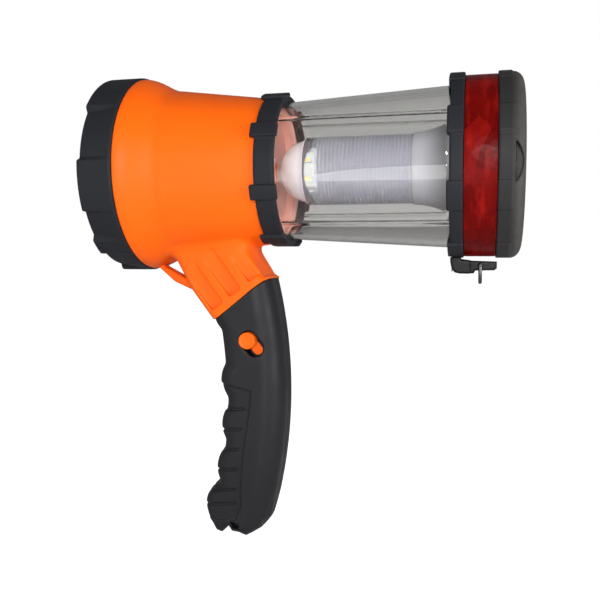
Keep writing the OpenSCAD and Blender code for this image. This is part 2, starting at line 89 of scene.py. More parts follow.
HEAD_R = high("bezel")[2]
FLANGE_R = 49.4
HEAD_BORE_R = 42.4
LENS_SEAT_R = 45.5
LENS_SEAT_X = X_FRONT + 2.6
LENS_R = 45.1
THROAT_R = 42.6
WAIST_R = 36.9
FLARE_LEN = 20.0
BARREL_LEN = X_BARREL_END - X_FLANGE
WALL = 2.5
COLLAR_R = 38.0
COLLAR_BORE_R = 36.2
CAP_R = 43.8
BAND_R = high("red_band")[2]
END_FACE_R = 37.8
TUBE_R = high("light_tube")[2]
LUG_STEP = 45.0
HALF_THICK = 16.0

GRIP_CX = X_FLANGE - 177.9
GRIP_CZ = -113.6
GRIP_MID_R = 236.7
GRIP_DEPTH = 30.4
GRIP_IN_R = GRIP_MID_R - GRIP_DEPTH / 2
GRIP_WALL = 3.0

SWITCH_X = X_FLANGE + 56.8
SWITCH_Z = -85.5
SWITCH_TILT = math.radians(-48)
SWITCH_TRAVEL = 5.0
KNOB_R = 4.2

LOOP_X = (low("hang_loop")[0] + high("hang_loop")[0]) / 2
LOOP_Z = -CAP_R - 3.4
WIRE_R = 0.9
LOOP_HALF_Y = 4.9
LOOP_SIDE = 3.6


# ---- fields: a number for every point, below zero inside the shape ----

# Union and intersection of two fields with sharp edges.
join = np.minimum
meet = np.maximum


def smooth_min(a, b, blend):
    """Union of two fields with a fillet."""
    h = np.maximum(blend - np.abs(a - b), 0.0) / blend
    return np.minimum(a, b) - h * h * blend * 0.25


def cut(shape, tool):
    """The shape without the tool."""
    return np.maximum(shape, -tool)


def smooth_max(a, b, blend):
    """Intersection of two fields with a softened edge."""
    return -smooth_min(-a, -b, blend)


def rounded_join(a, b, radius):
    """Intersection of two fields whose outer edge is rounded to a true radius."""
    outside = np.hypot(np.maximum(a + radius, 0), np.maximum(b + radius, 0))
    return np.minimum(np.maximum(a + radius, b + radius), 0) + outside - radius


def slab(value, start, end):
    """The space between two planes."""
    return np.maximum(start - value, value - end)


def ease(value, start, end):
    """Rises smoothly from 0 at start to 1 at end."""
    t = np.clip((value - start) / (end - start), 0, 1)
    return t * t * (3 - 2 * t)


def around(y, z):
    """Radius and angle about the barrel axis: 0 degrees faces the near side, 90 is up."""
    return np.hypot(y, z), np.degrees(np.arctan2(z, -y))


def outline(px, pz, corners):
    """Signed distance to a closed outline, below zero inside."""
    closest = np.full(px.shape, np.inf)
    inside = np.zeros(px.shape, bool)
    for (ax, az), (bx, bz) in zip(corners, corners[1:] + corners[:1]):
        ex, ez = bx - ax, bz - az
        wx, wz = px - ax, pz - az
        t = np.clip((wx * ex + wz * ez) / (ex * ex + ez * ez), 0, 1)
        closest = np.minimum(closest, np.hypot(wx - t * ex, wz - t * ez))
        crosses = (az > pz) != (bz > pz)
        if bz != az:
            inside ^= crosses & (wx < ex * wz / ez)
    return np.where(inside, -closest, closest)


def capsule(along, across, length, radius):
    """A slot outline from 0 to length along its own axis."""
    return np.hypot(along - np.clip(along, 0, length), across) - radius


# ---- meshes from fields ----

BLOCK = 4
CORNERS = np.array([(i, j, k) for i in (0, 1) for j in (0, 1) for k in (0, 1)])


def sample(field, start, count, cell):
    """Field values on a grid. Only blocks near the surface are worked out in full."""
    blocks = count // BLOCK
    axes = [start[i] + (np.arange(blocks[i]) * BLOCK + (BLOCK - 1) / 2) * cell for i in range(3)]
    middle = field(*np.meshgrid(*axes, indexing="ij"))
    grid = middle
    for axis in range(3):
        grid = np.repeat(grid, BLOCK, axis=axis)
    reach = 1.3 * BLOCK * cell * math.sqrt(3) / 2 + cell
    near = np.argwhere(np.abs(middle) < reach) * BLOCK
    steps = np.array([(i, j, k) for i in range(BLOCK) for j in range(BLOCK) for k in range(BLOCK)])
    at = (near[:, None, :] + steps[None, :, :]).reshape(-1, 3)
    points = start + at * cell
    grid[at[:, 0], at[:, 1], at[:, 2]] = field(points[:, 0], points[:, 1], points[:, 2])
    return grid


def net(grid):
    """One vertex in each cell that the surface crosses, and a quad across each crossed edge."""
    inside = grid < 0
    filled = sum(
        inside[i:i + grid.shape[0] - 1, j:j + grid.shape[1] - 1, k:k + grid.shape[2] - 1].astype(np.int8)
        for i, j, k in CORNERS
    )
    cells = np.argwhere((filled > 0) & (filled < 8))
    number = np.full(filled.shape, -1, np.int64)
    number[tuple(cells.T)] = np.arange(len(cells))
    total = np.zeros(cells.shape)
    hits = np.zeros(len(cells))
    for a in CORNERS:
        for axis in range(3):
            if a[axis]:
                continue
            b = a + np.eye(3, dtype=int)[axis]
            va = grid[tuple((cells + a).T)]
            vb = grid[tuple((cells + b).T)]
            crossed = (va < 0) != (vb < 0)
            t = np.where(crossed, va / np.where(crossed, va - vb, 1), 0)
            total += crossed[:, None] * (a + t[:, None] * (b - a))
            hits += crossed
    quads = []
    for axis in range(3):
        second, third = (axis + 1) % 3, (axis + 2) % 3
        here = np.take(inside, range(grid.shape[axis] - 1), axis)
        there = np.take(inside, range(1, grid.shape[axis]), axis)
        edges = np.argwhere(here != there)
        edges = edges[(edges[:, second] > 0) & (edges[:, third] > 0)]
        around_edge = []
        for back_second, back_third in ((1, 1), (0, 1), (0, 0), (1, 0)):
            cell = edges.copy()
            cell[:, second] -= back_second
            cell[:, third] -= back_third
            around_edge.append(number[tuple(cell.T)])
        quad = np.stack(around_edge, 1)
        flip = there[tuple(edges.T)]
        quad[flip] = quad[flip][:, ::-1]
        quads.append(quad)
    return cells + total / hits[:, None], np.concatenate(quads)


def settle(points, field, cell):
    """Moves the vertices onto the surface along the field's slope."""
    step = 0.1 * cell
    for _ in range(3):
        value = field(*points.T)
        slope = np.stack([
            field(*(points + offset).T) - field(*(points - offset).T)
            for offset in np.eye(3) * step
        ], 1) / (2 * step)
        size = np.maximum((slope ** 2).sum(1), 0.2)
        move = slope * (value / size)[:, None]
        points = points - np.clip(move, -0.5 * cell, 0.5 * cell)
    return points


def add_object(name, data):
    """Puts a mesh, lamp or camera into the scene."""
    made = bpy.data.objects.new(name, data)
    bpy.context.scene.collection.objects.link(made)
    return made


def new_object(name, points, faces):
    """A smooth-shaded object from points in millimetres."""
    mesh = bpy.data.meshes.new(name)
    mesh.from_pydata((np.asarray(points) / MM).tolist(), [], [list(map(int, f)) for f in faces])
    mesh.shade_smooth()
    mesh.validate()
    return add_object(name, mesh)


def from_field(name, field, start, end, cell):
    """The surface of a field between two corners, as an object."""
    start = np.asarray(start, float) - 2 * cell
    count = np.ceil((np.asarray(end, float) - start) / cell).astype(int) + 3
    count += -count % BLOCK
    points, quads = net(sample(field, start, count, cell))
    points = settle(start + points * cell, field, cell)
    return new_object(name, points, quads)


def from_round_field(name, field, start_x, end_x, reach, cell):
    """The surface of a field that lies round the barrel axis."""
    return from_field(name, field, [start_x, -reach, -reach], [end_x, reach, reach], cell)


# ---- turned meshes ----

def softened(profile, radius, steps=4):
    """A closed profile with its corners cut to short curves."""
    points = [np.array(p, float) for p in profile]
    result = []
    for before, corner, after in zip(points[-1:] + points[:-1], points, points[1:] + points[:1]):
        back, ahead = before - corner, after - corner
        straight = abs(np.dot(back, ahead) / np.linalg.norm(back) / np.linalg.norm(ahead) + 1) < 0.02
        if straight or corner[1] < 0.01:
            result.append(corner)
            continue
        p = corner + back * min(radius / np.linalg.norm(back), 0.45)
        q = corner + ahead * min(radius / np.linalg.norm(ahead), 0.45)
        for t in np.linspace(0, 1, steps):
            result.append((1 - t) ** 2 * p + 2 * t * (1 - t) * corner + t * t * q)
    return result


def turned(name, profile, segments=160, bulge=None):
    """Turns a closed profile of [x, radius] about the barrel axis; bulge adds to the radius."""
    profile = np.array(profile, float)
    area = sum(a[0] * b[1] - b[0] * a[1] for a, b in zip(profile, np.roll(profile, -1, 0)))
    if area < 0:
        profile = profile[::-1]
    angle = np.arange(segments) * 360 / segments
    points, rings = [], []
    for x, r in profile:
        if r < 0.01:
            rings.append([len(points)] * segments)
            points.append((x, 0, 0))
            continue
        radius = r + (bulge(angle, x, r) if bulge else np.zeros(segments))
        rings.append(list(range(len(points), len(points) + segments)))
        points.extend(zip(
            np.full(segments, x),
            -radius * np.cos(np.radians(angle)),
            radius * np.sin(np.radians(angle))
        ))
    faces = []
    for first, second in zip(rings, rings[1:] + rings[:1]):
        for i in range(segments):
            j = (i + 1) % segments
            corner = list(dict.fromkeys([first[i], first[j], second[j], second[i]]))
            if len(corner) > 2:
                faces.append(corner)
    return new_object(name, points, faces)


# ---- materials ----

class Nodes:
    """A node tree and short ways to build it."""

    def __init__(self, owner):
        owner.use_nodes = True
        self.tree = owner.node_tree

    def feed(self, value, socket):
        if isinstance(value, bpy.types.NodeSocket):
            self.tree.links.new(value, socket)
        elif socket.type == "RGBA":
            socket.default_value = (*value, 1)
        else:
            socket.default_value = value

    def fill(self, node, **inputs):
        """Feeds a node's sockets by name, with _ for each space."""
        for name, value in inputs.items():
            self.feed(value, node.inputs[name.replace("_", " ")])
        return node

    def node(self, kind, **inputs):
        return self.fill(self.tree.nodes.new(kind), **inputs)

    def spread(self, value, start, end, out_start, out_end):
        """Maps a value from one range to another."""
        limits = {"From_Min": start, "From_Max": end, "To_Min": out_start, "To_Max": out_end}
        return self.node("ShaderNodeMapRange", Value=value, **limits).outputs[0]

    def by_ray(self, kind, other, usual, output):
        """Gives one kind of ray another shader than the usual one."""
        chosen = self.node("ShaderNodeLightPath").outputs[kind]
        both = self.node("ShaderNodeMixShader", Fac=chosen)
        self.feed(usual.outputs[0], both.inputs[1])
        self.feed(other.outputs[0], both.inputs[2])
        self.feed(both.outputs[0], self.tree.nodes[output].inputs["Surface"])


class Look(Nodes):
    """A Principled material and the nodes that feed it."""

    def __init__(self, name, roughness, **sockets):
        self.material = bpy.data.materials.new(name)
        super().__init__(self.material)
        self.shader = self.fill(self.tree.nodes["Principled BSDF"], Roughness=roughness, **sockets)
        self.place = self.node("ShaderNodeTexCoord").outputs["Object"]

    def stretched(self, x, y, z):
        """Object coordinates multiplied along each axis."""
        return self.node("ShaderNodeMapping", Vector=self.place, Scale=(x, y, z)).outputs[0]

    def noise(self, scale, detail=3.0, place=None):
        made = self.node("ShaderNodeTexNoise", Vector=place or self.place, Scale=scale, Detail=detail)
        return made.outputs[0]

    def cells(self, scale, place=None, output="Distance"):
        made = self.node("ShaderNodeTexVoronoi", Vector=place or self.place, Scale=scale)
        return made.outputs[output]

    def mix(self, amount, first, second):
        """A colour between two colours."""
        made = self.tree.nodes.new("ShaderNodeMix")
        made.data_type = "RGBA"
        for socket, value in ((0, amount), (6, first), (7, second)):
            self.feed(value, made.inputs[socket])
        return made.outputs[2]

    def bump(self, height, distance, strength=1.0, below=None):
        """Adds relief to the shader's normal; below is an earlier relief to build on."""
        made = self.node("ShaderNodeBump", Height=height, Distance=distance, Strength=strength)
        if below:
            self.feed(below, made.inputs["Normal"])
        self.feed(made.outputs[0], self.shader.inputs["Normal"])
        return made.outputs[0]

    def colour(self, value):
        self.feed(value, self.shader.inputs["Base Color"])

    def drifting_colour(self, scale, first, second, detail=3.0):
        """A colour that wanders between two colours over the surface."""
        self.colour(self.mix(self.noise(scale, detail), first, second))

    def rough(self, value):
        self.feed(value, self.shader.inputs["Roughness"])

    def drifting_rough(self, scale, smoothest, roughest, detail=3.0):
        """Roughness that wanders between two values over the surface."""
        self.rough(self.spread(self.noise(scale, detail), 0.3, 0.7, smoothest, roughest))

    def moulded_relief(self, grain, depth):
        """Slow waves of a moulding with spark-eroded grain on them."""
        waves = self.bump(self.noise(60.0, 2.0), 0.0003, 0.12)
        self.bump(self.noise(grain, 2.0), depth, 0.5, below=waves)

    def let_lamps_through(self, tint):
        """Lets lamps shine through a clear shell onto what it holds."""
        passed = self.node("ShaderNodeBsdfTransparent", Color=tint)
        self.by_ray("Is Shadow Ray", passed, self.shader, "Material Output")

    def edges(self):
        """1 on outer edges, where a moulding gets worn."""
        sharp = self.node("ShaderNodeNewGeometry").outputs["Pointiness"]
        return self.spread(sharp, 0.53, 0.62, 0.0, 1.0)

    def along(self, start, end):
        """Rises from 0 to 1 between two places along the barrel axis, in millimetres."""
        x = self.node("ShaderNodeSeparateXYZ", Vector=self.place).outputs[0]
        return self.spread(x, start / MM, end / MM, 0.0, 1.0)


def shaded(colour, factor):
    """A colour made darker or lighter."""
    return tuple(min(c * factor, 1) for c in colour)


def moulded(name, base, worn, roughness, shine=0.5, grain=1500.0, depth=0.00004):
    """Moulded plastic: slight colour drift, spark-eroded grain and edges worn lighter."""
    look = Look(name, roughness, Specular_IOR_Level=shine)
    body = look.mix(look.noise(28.0, 4.0), shaded(base, 0.84), shaded(base, 1.16))
    scuffs = look.spread(look.noise(420.0, 6.0), 0.55, 0.75, 0.25, 0.75)
    lightened = look.node("ShaderNodeMath", Value=look.edges())
    lightened.operation = "MULTIPLY"
    look.feed(scuffs, lightened.inputs[1])
    look.colour(look.mix(lightened.outputs[0], body, worn))
    look.drifting_rough(75.0, roughness - 0.07, roughness + 0.08, 5.0)
    look.moulded_relief(grain, depth)
    return look.material


def clear_plastic(name, tint, roughness=0.03):
    """Clear moulding with faint flow marks and hair scratches; lamps shine through it."""
    look = Look(name, roughness, IOR=1.47, Transmission_Weight=1.0)
    look.drifting_colour(40.0, shaded(tint, 0.96), tint, 2.0)
    scratches = look.noise(90.0, 8.0, look.stretched(1.0, 9.0, 9.0))
    look.rough(look.spread(scratches, 0.6, 0.75, roughness, roughness + 0.09))
    look.bump(look.noise(55.0, 2.0), 0.0002, 0.12)
    look.let_lamps_through(tint)
    return look.material


def black_shell():
    return moulded("black_shell", (0.017, 0.018, 0.022), (0.05, 0.05, 0.055), 0.54, 0.12)


def black_end():
    """The end cap, with a painted highlight: lighter grey round the shoulder, where light from the side
    falls on it.
    """
    look = Look("black_end", 0.5, Specular_IOR_Level=0.12)
    shoulder = look.along(SHOULDER_X - 1.5, SHOULDER_X + 2.5)
    drift = look.mix(look.noise(28.0, 4.0), (0.022, 0.021, 0.022), (0.029, 0.028, 0.028))
    # Painted highlight: the shoulder's lighter grey stands in for side light falling on it.
    lightened = look.mix(look.noise(240.0, 5.0), (0.044, 0.041, 0.038), (0.075, 0.07, 0.065))
    look.colour(look.mix(shoulder, drift, lightened))
    look.drifting_rough(75.0, 0.43, 0.58, 5.0)
    look.moulded_relief(1500.0, 0.00004)
    return look.material


def black_gloss():
    return moulded("black_gloss", (0.005, 0.005, 0.0055), (0.015, 0.015, 0.015), 0.3, 0.15, depth=0.00001)


def grip_black():
    base, worn = (0.011, 0.011, 0.0135), (0.03, 0.03, 0.033)
    return moulded("grip_black", base, worn, 0.5, 0.24, grain=2200.0, depth=0.00005)


def orange_shell():
    base, worn = (0.95, 0.122, 0.003), (1.0, 0.22, 0.03)
    return moulded("orange_shell", base, worn, 0.45, 0.15, grain=1700.0, depth=0.00002)


def end_plate_salmon():
    """The barrel's end plate: the same plastic, painted pale as a painted reflection of the clear globe
    that lies over it.
    """
    return moulded("end_plate_salmon", (0.92, 0.46, 0.38), (1.0, 0.6, 0.5), 0.45)


def white_shell():
    return moulded("white_shell", (0.66, 0.67, 0.71), (0.75, 0.75, 0.76), 0.3, depth=0.00001)


def bell_white():
    """White reflector plastic with painted shade: darker towards its rim, where less light gets into it.
    """
    look = Look("bell_white", 0.4, Specular_IOR_Level=0.3)
    rimward = look.along(TUBE_X1 + 5, X_CAP + 1)
    drift = look.mix(look.noise(45.0), (0.3, 0.3, 0.34), (0.36, 0.36, 0.4))
    # Painted shade: the colour darkens to near black towards the rim.
    look.colour(look.mix(rimward, drift, (0.11, 0.11, 0.113)))
    look.drifting_rough(90.0, 0.34, 0.48)
    look.bump(look.noise(70.0, 2.0), 0.0002, 0.15)
    return look.material


def red_clear():
    """Dark red lens plastic, clear enough to show the prisms and lamps behind it."""
    look = Look("red_clear", 0.3, IOR=1.3, Transmission_Weight=0.08, Specular_IOR_Level=0.08)
    patches = look.cells(170.0, look.stretched(0.6, 1.0, 0.45), "Color")
    streaks = look.noise(160.0, 3.0, look.stretched(1.6, 0.4, 0.4))
    deep = look.mix(patches, (0.08, 0.0015, 0.001), (0.2, 0.004, 0.003))
    look.colour(look.mix(look.spread(streaks, 0.5, 0.8, 0.0, 1.0), deep, (0.3, 0.008, 0.006)))
    look.drifting_rough(90.0, 0.22, 0.38)
    look.bump(look.cells(260.0), 0.0004, 0.35)
    return look.material


def ribbed_clear():
    """The light tube: clear with a milky bloom and a fine line between its ribs."""
    look = Look("ribbed_clear", 0.06, IOR=1.47, Transmission_Weight=0.72)
    look.drifting_colour(120.0, (0.56, 0.565, 0.64), (0.68, 0.68, 0.76))
    look.drifting_rough(200.0, 0.04, 0.12)
    look.bump(look.noise(60.0), 0.0001, 0.2)
    look.let_lamps_through((0.85, 0.86, 0.9))
    return look.material


def mirror_dish():
    look = Look("mirror_dish", 0.06, Metallic=1.0)
    look.drifting_colour(30.0, (0.86, 0.87, 0.89), (0.95, 0.95, 0.96))
    look.rough(look.spread(look.noise(140.0, 6.0), 0.4, 0.7, 0.04, 0.12))
    look.bump(look.noise(260.0, 2.0), 0.0002, 0.12)
    return look.material


def metal(name, base, roughness, stretch=(1.0, 1.0, 1.0)):
    """Machined or plated metal with fine directional marks."""
    look = Look(name, roughness, Metallic=1.0)
    marks = look.noise(900.0, 4.0, look.stretched(*stretch))
    look.colour(look.mix(marks, shaded(base, 0.8), shaded(base, 1.15)))
    look.rough(look.spread(marks, 0.3, 0.7, roughness - 0.08, roughness + 0.12))
    look.bump(marks, 0.00003, 0.4)
    return look.material


def seal():
    look = Look("seal", 0.75)
    look.drifting_colour(200.0, (0.018, 0.018, 0.018), (0.035, 0.035, 0.035))
    look.drifting_rough(500.0, 0.65, 0.85)
    look.bump(look.noise(1800.0), 0.00004, 0.5)
    return look.material


def board(name, mask, copper):
    """Circuit board: solder mask with raised tracks under it."""
    look = Look(name, 0.35, Coat_Weight=0.2)
    tracks = look.spread(look.cells(260.0), 0.42, 0.46, 0.0, 1.0)
    look.colour(look.mix(tracks, mask, copper))
    look.drifting_rough(300.0, 0.28, 0.45)
    look.bump(tracks, 0.00004, 0.5)
    return look.material


def phosphor(name, base, glow):
    """Coloured silicone over a lamp chip."""
    look = Look(name, 0.35, Subsurface_Weight=0.2, Coat_Weight=0.4)
    look.drifting_colour(900.0, base, glow)
    look.drifting_rough(1500.0, 0.25, 0.45)
    look.bump(look.noise(1800.0), 0.00003, 0.5)
    return look.material


def cell_wrap():
    look = Look("cell_wrap", 0.25, Coat_Weight=0.3)
    look.drifting_colour(60.0, (0.04, 0.16, 0.42), (0.06, 0.24, 0.58))
    look.drifting_rough(160.0, 0.18, 0.34)
    look.bump(look.noise(110.0, 5.0), 0.0002, 0.3)
    return look.material


BLACK = black_shell()
BLACK_END = black_end()
BLACK_GLOSS = black_gloss()
GRIP = grip_black()
ORANGE = orange_shell()
SALMON = end_plate_salmon()
WHITE = white_shell()
BELL = bell_white()
CLEAR = clear_plastic("clear", (0.93, 0.94, 0.95))
SMOKE = clear_plastic("globe_clear", (0.93, 0.925, 0.91))
RIBBED = ribbed_clear()
RED = red_clear()
MIRROR = mirror_dish()
SEAL = seal()
ALUMINIUM = metal("sink_alu", (0.7, 0.71, 0.73), 0.35, (0.2, 3.0, 3.0))
STEEL = metal("screw_steel", (0.5, 0.5, 0.52), 0.3)
WIRE = metal("wire_steel", (0.11, 0.11, 0.115), 0.3, (3.0, 3.0, 0.3))
NICKEL = metal("nickel", (0.62, 0.61, 0.58), 0.25)
GREEN_BOARD = board("board_green", (0.02, 0.16, 0.06), (0.05, 0.3, 0.12))
WHITE_BOARD = board("board_white", (0.82, 0.82, 0.8), (0.68, 0.68, 0.64))
YELLOW = phosphor("emitter_yellow", (0.85, 0.62, 0.12), (0.95, 0.8, 0.25))
RED_CHIP = phosphor("led_red", (0.5, 0.03, 0.02), (0.75, 0.08, 0.05))
WRAP = cell_wrap()


def finish_piece(piece, slot, materials, *replaced, body="lamp"):
    """Gives a piece its body and materials, and hides the CAD nodes it stands for. The slot (its finish)
    is not used.
    """
    for material in materials:
        piece.data.materials.append(material)
    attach(piece, body)
    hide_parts(*replaced)
    return piece


def clamshell(name, node, field, half_width, cell, slot, materials):
    """The near and far shells of a part that is split down its middle."""
    start, end = low(node + "_near"), high(node + "_near")
    shells = []
    for side, sign in (("near", 1), ("far", -1)):

        def half(x, y, z):
            return rounded_join(field(x, y, z), SPLIT + sign * y, SPLIT_EDGE)

        start[1], end[1] = sorted((0, -sign * half_width))
        shell = from_field(f"{name}_{side}", half, start, end, cell)
        shells.append(finish_piece(shell, slot, materials, f"{node}_{side}"))
    return shells


def make_seal(name, node, inner, outer, softness, steps=4):
    """A square-cut seal ring with its edges softened."""
    x0, x1 = low(node)[0], high(node)[0]
    ring = softened([[x0, inner], [x0, outer], [x1, outer], [x1, inner]], softness, steps)
    finish_piece(turned(name, ring), "seal", [SEAL], node)


# ---- head ----

# Head pads as [middle, sweep] in degrees; half a turn repeats them.
HEAD_PADS = [[-11, 30], [-51, 13], [65.5, 59]]
PAD_RAMP = 2.6


def pad_height(angle):
    """1 on a head pad and 0 between pads."""
    height = np.zeros(angle.shape)
    for middle, sweep in HEAD_PADS:
        off = np.abs((angle - middle + 90) % 180 - 90) - sweep / 2
        height = np.maximum(height, 1 - ease(off, -PAD_RAMP / 2, PAD_RAMP / 2))
    return height


def bezel_field(x, y, z):
    r, angle = around(y, z)
    share = np.clip((x - X_FRONT) / (X_FLANGE - X_FRONT), 0, 1)
    valley = HEAD_R - 2.9 + 2.8 * share
    outer = valley + (HEAD_R - valley) * pad_height(angle)
    ring = rounded_join(r - outer, slab(x, X_FRONT, X_FLANGE - GAP), 1.3)
    ring = rounded_join(ring, HEAD_BORE_R - r, 0.7)
    return cut(ring, meet(r - LENS_SEAT_R, LENS_SEAT_X - x))


def make_head():
    bezel = from_round_field("head_ring", bezel_field, X_FRONT, X_FLANGE, HEAD_R, 0.55)
    finish_piece(bezel, "black_shell", [BLACK], "bezel")

    face, back = LENS_SEAT_X + 0.1, LENS_SEAT_X + 3.1
    dome = [[face + 0.5 * (r / 44.5) ** 2, r] for r in np.linspace(0, 44.5, 12)]
    lens = turned("lens", softened(dome + [[face + 0.6, LENS_R], [back, LENS_R], [back, 0]], 0.4))
    finish_piece(lens, "clear", [CLEAR], "front_lens")

    make_seal("lens_seal", "lens_gasket", HEAD_BORE_R, 45, 1.0, 6)


DISH_R = 40.9
DISH_RIM_R = 42.0
DISH_RIM_X = X_FLANGE - 11
DISH_DEPTH = 40.0
DISH_HOLE_R = 9.0


def make_reflector():
    radii = np.linspace(DISH_HOLE_R, DISH_R, 48)
    inner = [[DISH_RIM_X + DISH_DEPTH - DISH_DEPTH * (r / DISH_R) ** 2, r] for r in radii]
    rim = [[DISH_RIM_X, DISH_RIM_R], [DISH_RIM_X + 1.2, DISH_RIM_R]]
    outer = [[x + 0.5, r + 1.1] for x, r in inner[::-1]]
    dish = turned("dish", inner + rim + outer)
    finish_piece(dish, "mirror_dish", [MIRROR], "reflector")


def make_spot_emitter():
    base = low("spot_emitter")[0] + 1.5
    dome = [[-0.5 - 0.95 * math.cos(a), 3.9 * math.sin(a)] for a in np.radians(range(0, 91, 9))]
    rim = [[-0.5, 4.3], [-0.9, 4.6], [-0.9, 5.2], [-0.6, 5.5], [0, 5.5], [0, 0]]
    chip = turned("spot_lamp", [[base + x, r] for x, r in dome + rim], 96)
    finish_piece(chip, "emitter_yellow", [YELLOW], "spot_emitter")


# ---- barrel, neck and strut ----

PANEL_EDGE = 44.0
PANEL_DROP = 1.1

NECK_FOOT = [
    [37.4, -75.6], [40.6, -74.0], [45.7, -70.1], [51.8, -65.2],
    [58.4, -59.8], [63.6, -55.9], [67.0, -54.0]
]
NECK_SIDE = [
    [13, -36], [16.9, -43.7], [21.6, -52.5], [26, -60.5], [37.4, -75.6], [50, -92],
    [76, -72], [65.8, -53.8], [63.4, -52.4], [56.6, -41.5], [53.3, -34]
]
NECK_HOLLOW = [
    [20, -34], [21, -45], [26, -54], [38.4, -70.4], [44, -66.6],
    [50, -61.8], [57, -56.2], [61, -53], [54.5, -42], [51, -32]
]
STRUT_HALF = 4.0
STRUT_SIDE = [
    [0.8, -42], [0.8, -46.4], [3.9, -49.3], [12.3, -56.5],
    [20.3, -60], [26, -62], [28, -56], [18, -38]
]
STRUT_EYE = [[2.2, -46], [13.4, -41.3], [18.9, -54.6]]
CHANNEL_FEET = [[40.6, -68.6, 27], [50, -61.4, 25], [60.2, -53.8, 16]]
CHANNEL_HALF = 3.8
CHANNEL_DEPTH = 3.2
CHANNEL_TILT = math.radians(53.5)
NECK_SCREWS = [[31.5, -58], [54.5, -48]]
POST_R = 4.4
PILOT_R = 1.4
SCREW_HEAD_R = 3.1
SOCKET_U = 56.0
SPIGOT_BORE_R = 42.2


def foot_height(u, z):
    """Height above the line where the orange neck meets the black grip."""
    line = [[20, -84.3]] + NECK_FOOT + [[90, -41.2]]
    across, up = np.array(line).T
    return (z - np.interp(u, across, up)) * 0.81


def barrel_radius(u):
    """Outer radius of the barrel at distance u behind the head ring."""
    flare = THROAT_R + (FLANGE_R - THROAT_R) * (1 + np.cos(np.pi * np.clip(u / FLARE_LEN, 0, 1))) / 2
    taper = np.clip((u - FLARE_LEN) / (BARREL_LEN - FLARE_LEN), 0, 2)
    return flare + (WAIST_R - THROAT_R) * taper


def panel_drop(angle):
    """How far the flattened side panels lie under the round barrel."""
    from_side = np.minimum(np.abs(angle), 180 - np.abs(angle))
    return np.clip(1 - (from_side / PANEL_EDGE) ** 2, 0, 1)


def channel_field(u, y, z):
    """The slanted channels pressed into both sides of the neck, fading out at the top."""
    channels = np.full(u.shape, 50.0)
    for foot_u, foot_z, length in CHANNEL_FEET:
        along = (z - foot_z) * math.sin(CHANNEL_TILT) - (u - foot_u) * math.cos(CHANNEL_TILT)
        across = (u - foot_u) * math.sin(CHANNEL_TILT) + (z - foot_z) * math.cos(CHANNEL_TILT)
        depth = CHANNEL_DEPTH * (1 - np.clip(along / length, 0, 1))
        walls = rounded_join(np.abs(across) - CHANNEL_HALF, slab(along, 0, length), 1.2)
        channels = join(channels, rounded_join(walls, HALF_THICK - depth - np.abs(y), 0.5))
    return channels


def with_screw_post(shell, u, y, z, place):
    """Adds a post for a screw that closes a clamshell."""
    post = meet(np.hypot(u - place[0], z - place[1]) - POST_R, np.abs(y) - HALF_THICK + 3)
    return join(shell, post)


def without_screw_hole(shell, u, y, z, place):
    """Cuts a screw's pilot hole and the recess for its head on the far side."""
    r = np.hypot(u - place[0], z - place[1])
    pilot = meet(r - PILOT_R, -10 - y)
    recess = meet(r - SCREW_HEAD_R, HALF_THICK - 4.4 - y)
    return cut(shell, join(pilot, recess))


def body_field(x, y, z):
    u = x - X_FLANGE
    r, angle = around(y, z)
    side = np.abs(y)
    skin = barrel_radius(u) - PANEL_DROP * panel_drop(angle) * ease(u, 0, 14)
    barrel = rounded_join(r - skin, slab(u, 0, BARREL_LEN), 0.6)
    neck = rounded_join(outline(u, z, NECK_SIDE), side - HALF_THICK, 4.5)
    neck = rounded_join(neck, -foot_height(u, z), 0.5)
    strut = smooth_max(outline(u, z, STRUT_SIDE), -outline(u, z, STRUT_EYE), 1.0)
    strut = rounded_join(strut, side - STRUT_HALF, 1.3)
    shape = smooth_min(smooth_min(barrel, neck, 6.0), strut, 1.0)
    shape = meet(shape, slab(u, 0, BARREL_LEN + 30))
    shape = smooth_max(shape, -channel_field(u, y, z), 0.35)

    inner = barrel_radius(u) - WALL
    hollow = meet(r - inner, slab(u, 2.5, BARREL_LEN - 2))
    hollow = join(hollow, meet(r - SPIGOT_BORE_R, u - 2.6))
    hollow = join(hollow, meet(r - 6, BARREL_LEN - 4 - u))
    hollow = join(hollow, meet(outline(u, z, NECK_HOLLOW), side - HALF_THICK + 5))
    shell = cut(shape, hollow)
    for place in NECK_SCREWS:
        shell = with_screw_post(shell, u, y, z, place)
    front_spigot = meet(slab(r, SPIGOT_BORE_R, SPIGOT_BORE_R + 3), slab(u, -10.85, 1))
    back_spigot = meet(slab(r, 30, 36), slab(u, BARREL_LEN - 1, BARREL_LEN + 5.8))
    back_spigot = cut(back_spigot, meet(r - 32.6, BARREL_LEN + 4.6 - u))
    shell = join(shell, join(front_spigot, back_spigot))
    for place in NECK_SCREWS:
        shell = without_screw_hole(shell, u, y, z, place)
    socket = meet(np.hypot(u - SOCKET_U, z) - 4.3, 20 - y)
    return smooth_max(shell, -socket, 0.5)


def make_body():
    shells = clamshell("body_shell", "body", body_field, FLANGE_R, 0.7, "orange_shell", [ORANGE, SALMON])
    # End-plate faces get the pale salmon material, a painted reflection of the globe over them.
    for shell in shells:
        for face in shell.data.polygons:
            x, y, z = face.center * MM
            on_end_plate = x > X_BARREL_END - 0.3 and math.hypot(y, z) < COLLAR_BORE_R
            face.material_index = int(on_end_plate)


# ---- grip ----

SWELL_R = 16.0
SWELL_STEP = math.degrees(21.8 / GRIP_IN_R)
